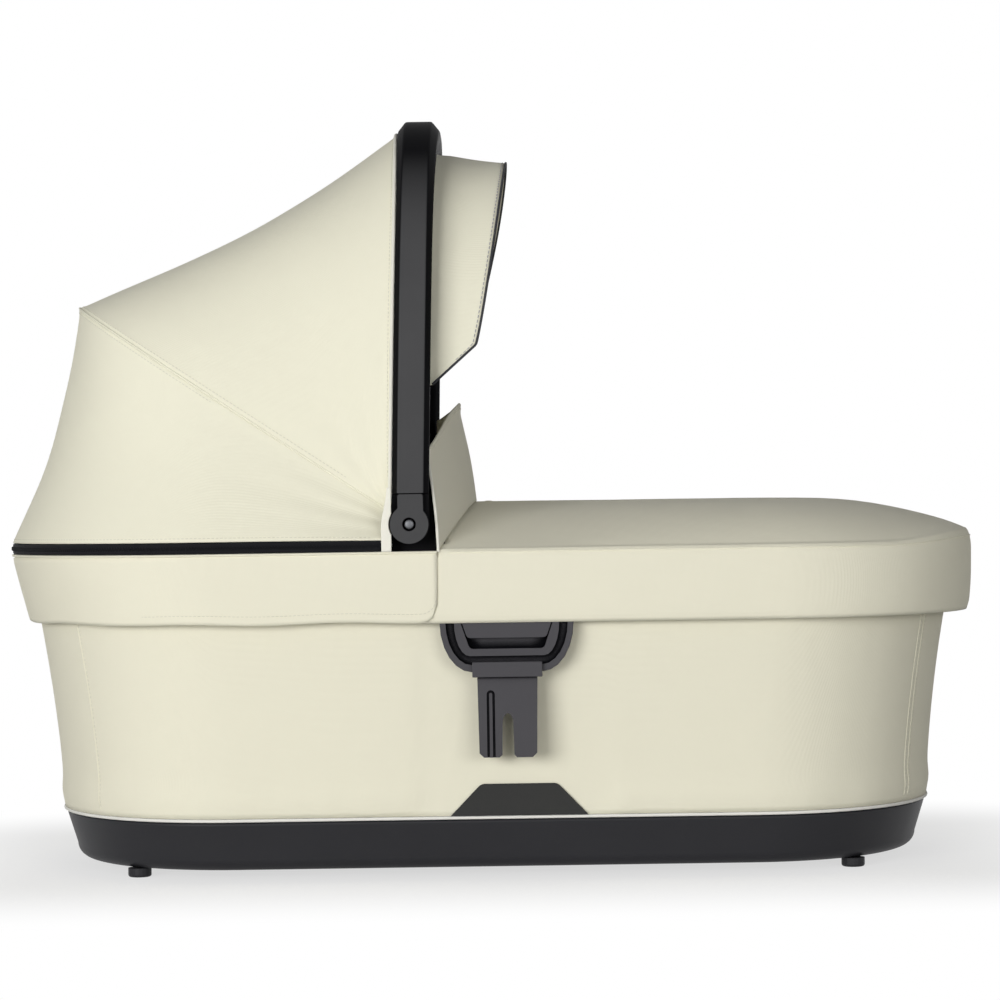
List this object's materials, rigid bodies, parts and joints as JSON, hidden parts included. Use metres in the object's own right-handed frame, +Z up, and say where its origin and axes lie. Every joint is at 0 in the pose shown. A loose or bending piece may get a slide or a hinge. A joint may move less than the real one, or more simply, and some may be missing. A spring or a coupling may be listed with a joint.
{
  "type": "carrycot",
  "caption": "Fabric-covered carrycot on a moulded tray, with an apron, a folding canopy under an arched carry handle, and a release lever and fork on each side.",
  "frame": {"origin": "middle of the bounding box at the ground that the feet stand on", "axes": "+X towards the foot end, +Y towards the far side, +Z up"},
  "size_m": [0.8532, 0.4576, 0.6538],
  "materials": {
    "cream_fabric": "matt woven cover cloth",
    "flap_fabric": "matt woven cover cloth, in shade",
    "piping": "matt cord piping",
    "lining": "soft inner lining",
    "mattress_cover": "soft knitted cover",
    "zip_tape": "black zip tape and teeth",
    "black_plastic": "satin moulded",
    "handle_plastic": "satin moulded",
    "adapter_plastic": "satin moulded",
    "tab_material": "matt, textured",
    "board": "matt board",
    "steel": "bright pin",
    "wire": "wire in black edging"
  },
  "bodies": {
    "tub": {"base_tray": "black_plastic", "foot_1": "black_plastic", "foot_2": "black_plastic", "foot_3": "black_plastic", "foot_4": "black_plastic", "base_piping": "piping", "tub_cover": "cream_fabric", "tub_shell": "board", "inner_lining": "lining", "floor_board": "board", "mattress": "mattress_cover", "side_tab_near": "tab_material", "side_tab_far": "tab_material", "rim_frame": "black_plastic", "rear_skirt": "cream_fabric", "zip_strip": "zip_tape", "apron": "cream_fabric", "adapter_frame_near": "adapter_plastic", "adapter_frame_far": "adapter_plastic", "adapter_fork_near": "adapter_plastic", "adapter_fork_far": "adapter_plastic", "hub_plate_near": "black_plastic", "hub_plate_far": "black_plastic", "pivot_pin_near": "steel", "pivot_pin_far": "steel"},
    "bow": {"bow": "black_plastic", "canopy_rear": "cream_fabric"},
    "handle": {"handle_bar": "handle_plastic", "handle_end_near": "handle_plastic", "handle_end_far": "handle_plastic", "canopy_front": "cream_fabric", "visor": "cream_fabric"},
    "visor_frame": {"visor_wire": "wire"},
    "flap": {"wind_flap": "flap_fabric"},
    "release_near": {"release_lever_near": "adapter_plastic"},
    "release_far": {"release_lever_far": "adapter_plastic"},
    "button_near": {"lock_button_near": "black_plastic"},
    "button_far": {"lock_button_far": "black_plastic"}
  },
  "joints": [
    {"name": "bow_fold", "type": "hinge", "parent": "tub", "child": "bow", "pos_m": [-0.068, 0, 0.2983], "axis": [0, 1, 0], "range_deg": [-16.1, 0], "deforming": ["canopy_rear"]},
    {"name": "canopy_fold", "type": "hinge", "parent": "bow", "child": "handle", "pos_m": [-0.068, 0, 0.2983], "axis": [0, 1, 0], "range_deg": [-51, 0], "deforming": ["canopy_front"]},
    {"name": "visor_tilt", "type": "hinge", "parent": "handle", "child": "visor_frame", "pos_m": [-0.0443, 0, 0.415], "axis": [0, 1, 0], "range_deg": [-15, 0], "deforming": ["visor"]},
    {"name": "flap_fold", "type": "hinge", "parent": "tub", "child": "flap", "pos_m": [-0.01, 0, 0.3165], "axis": [0, 1, 0], "range_deg": [0, 75], "deforming": ["wind_flap"]},
    {"name": "release_near_slide", "type": "slide", "parent": "tub", "child": "release_near", "axis": [0, 0, 1], "range_m": [0, 0.008], "stiffness_N_per_m": 350, "springref_m": -0.006},
    {"name": "release_far_slide", "type": "slide", "parent": "tub", "child": "release_far", "axis": [0, 0, 1], "range_m": [0, 0.008], "stiffness_N_per_m": 350, "springref_m": -0.006},
    {"name": "button_near_press", "type": "slide", "parent": "tub", "child": "button_near", "axis": [0, -1, 0], "range_m": [0, 0.003], "stiffness_N_per_m": 600, "springref_m": -0.003},
    {"name": "button_far_press", "type": "slide", "parent": "tub", "child": "button_far", "axis": [0, 1, 0], "range_m": [0, 0.003], "stiffness_N_per_m": 600, "springref_m": -0.003}
  ],
  "couplings": [
    {"joint": "bow_fold", "follows": "canopy_fold", "ratio": 0.3137}
  ]
}
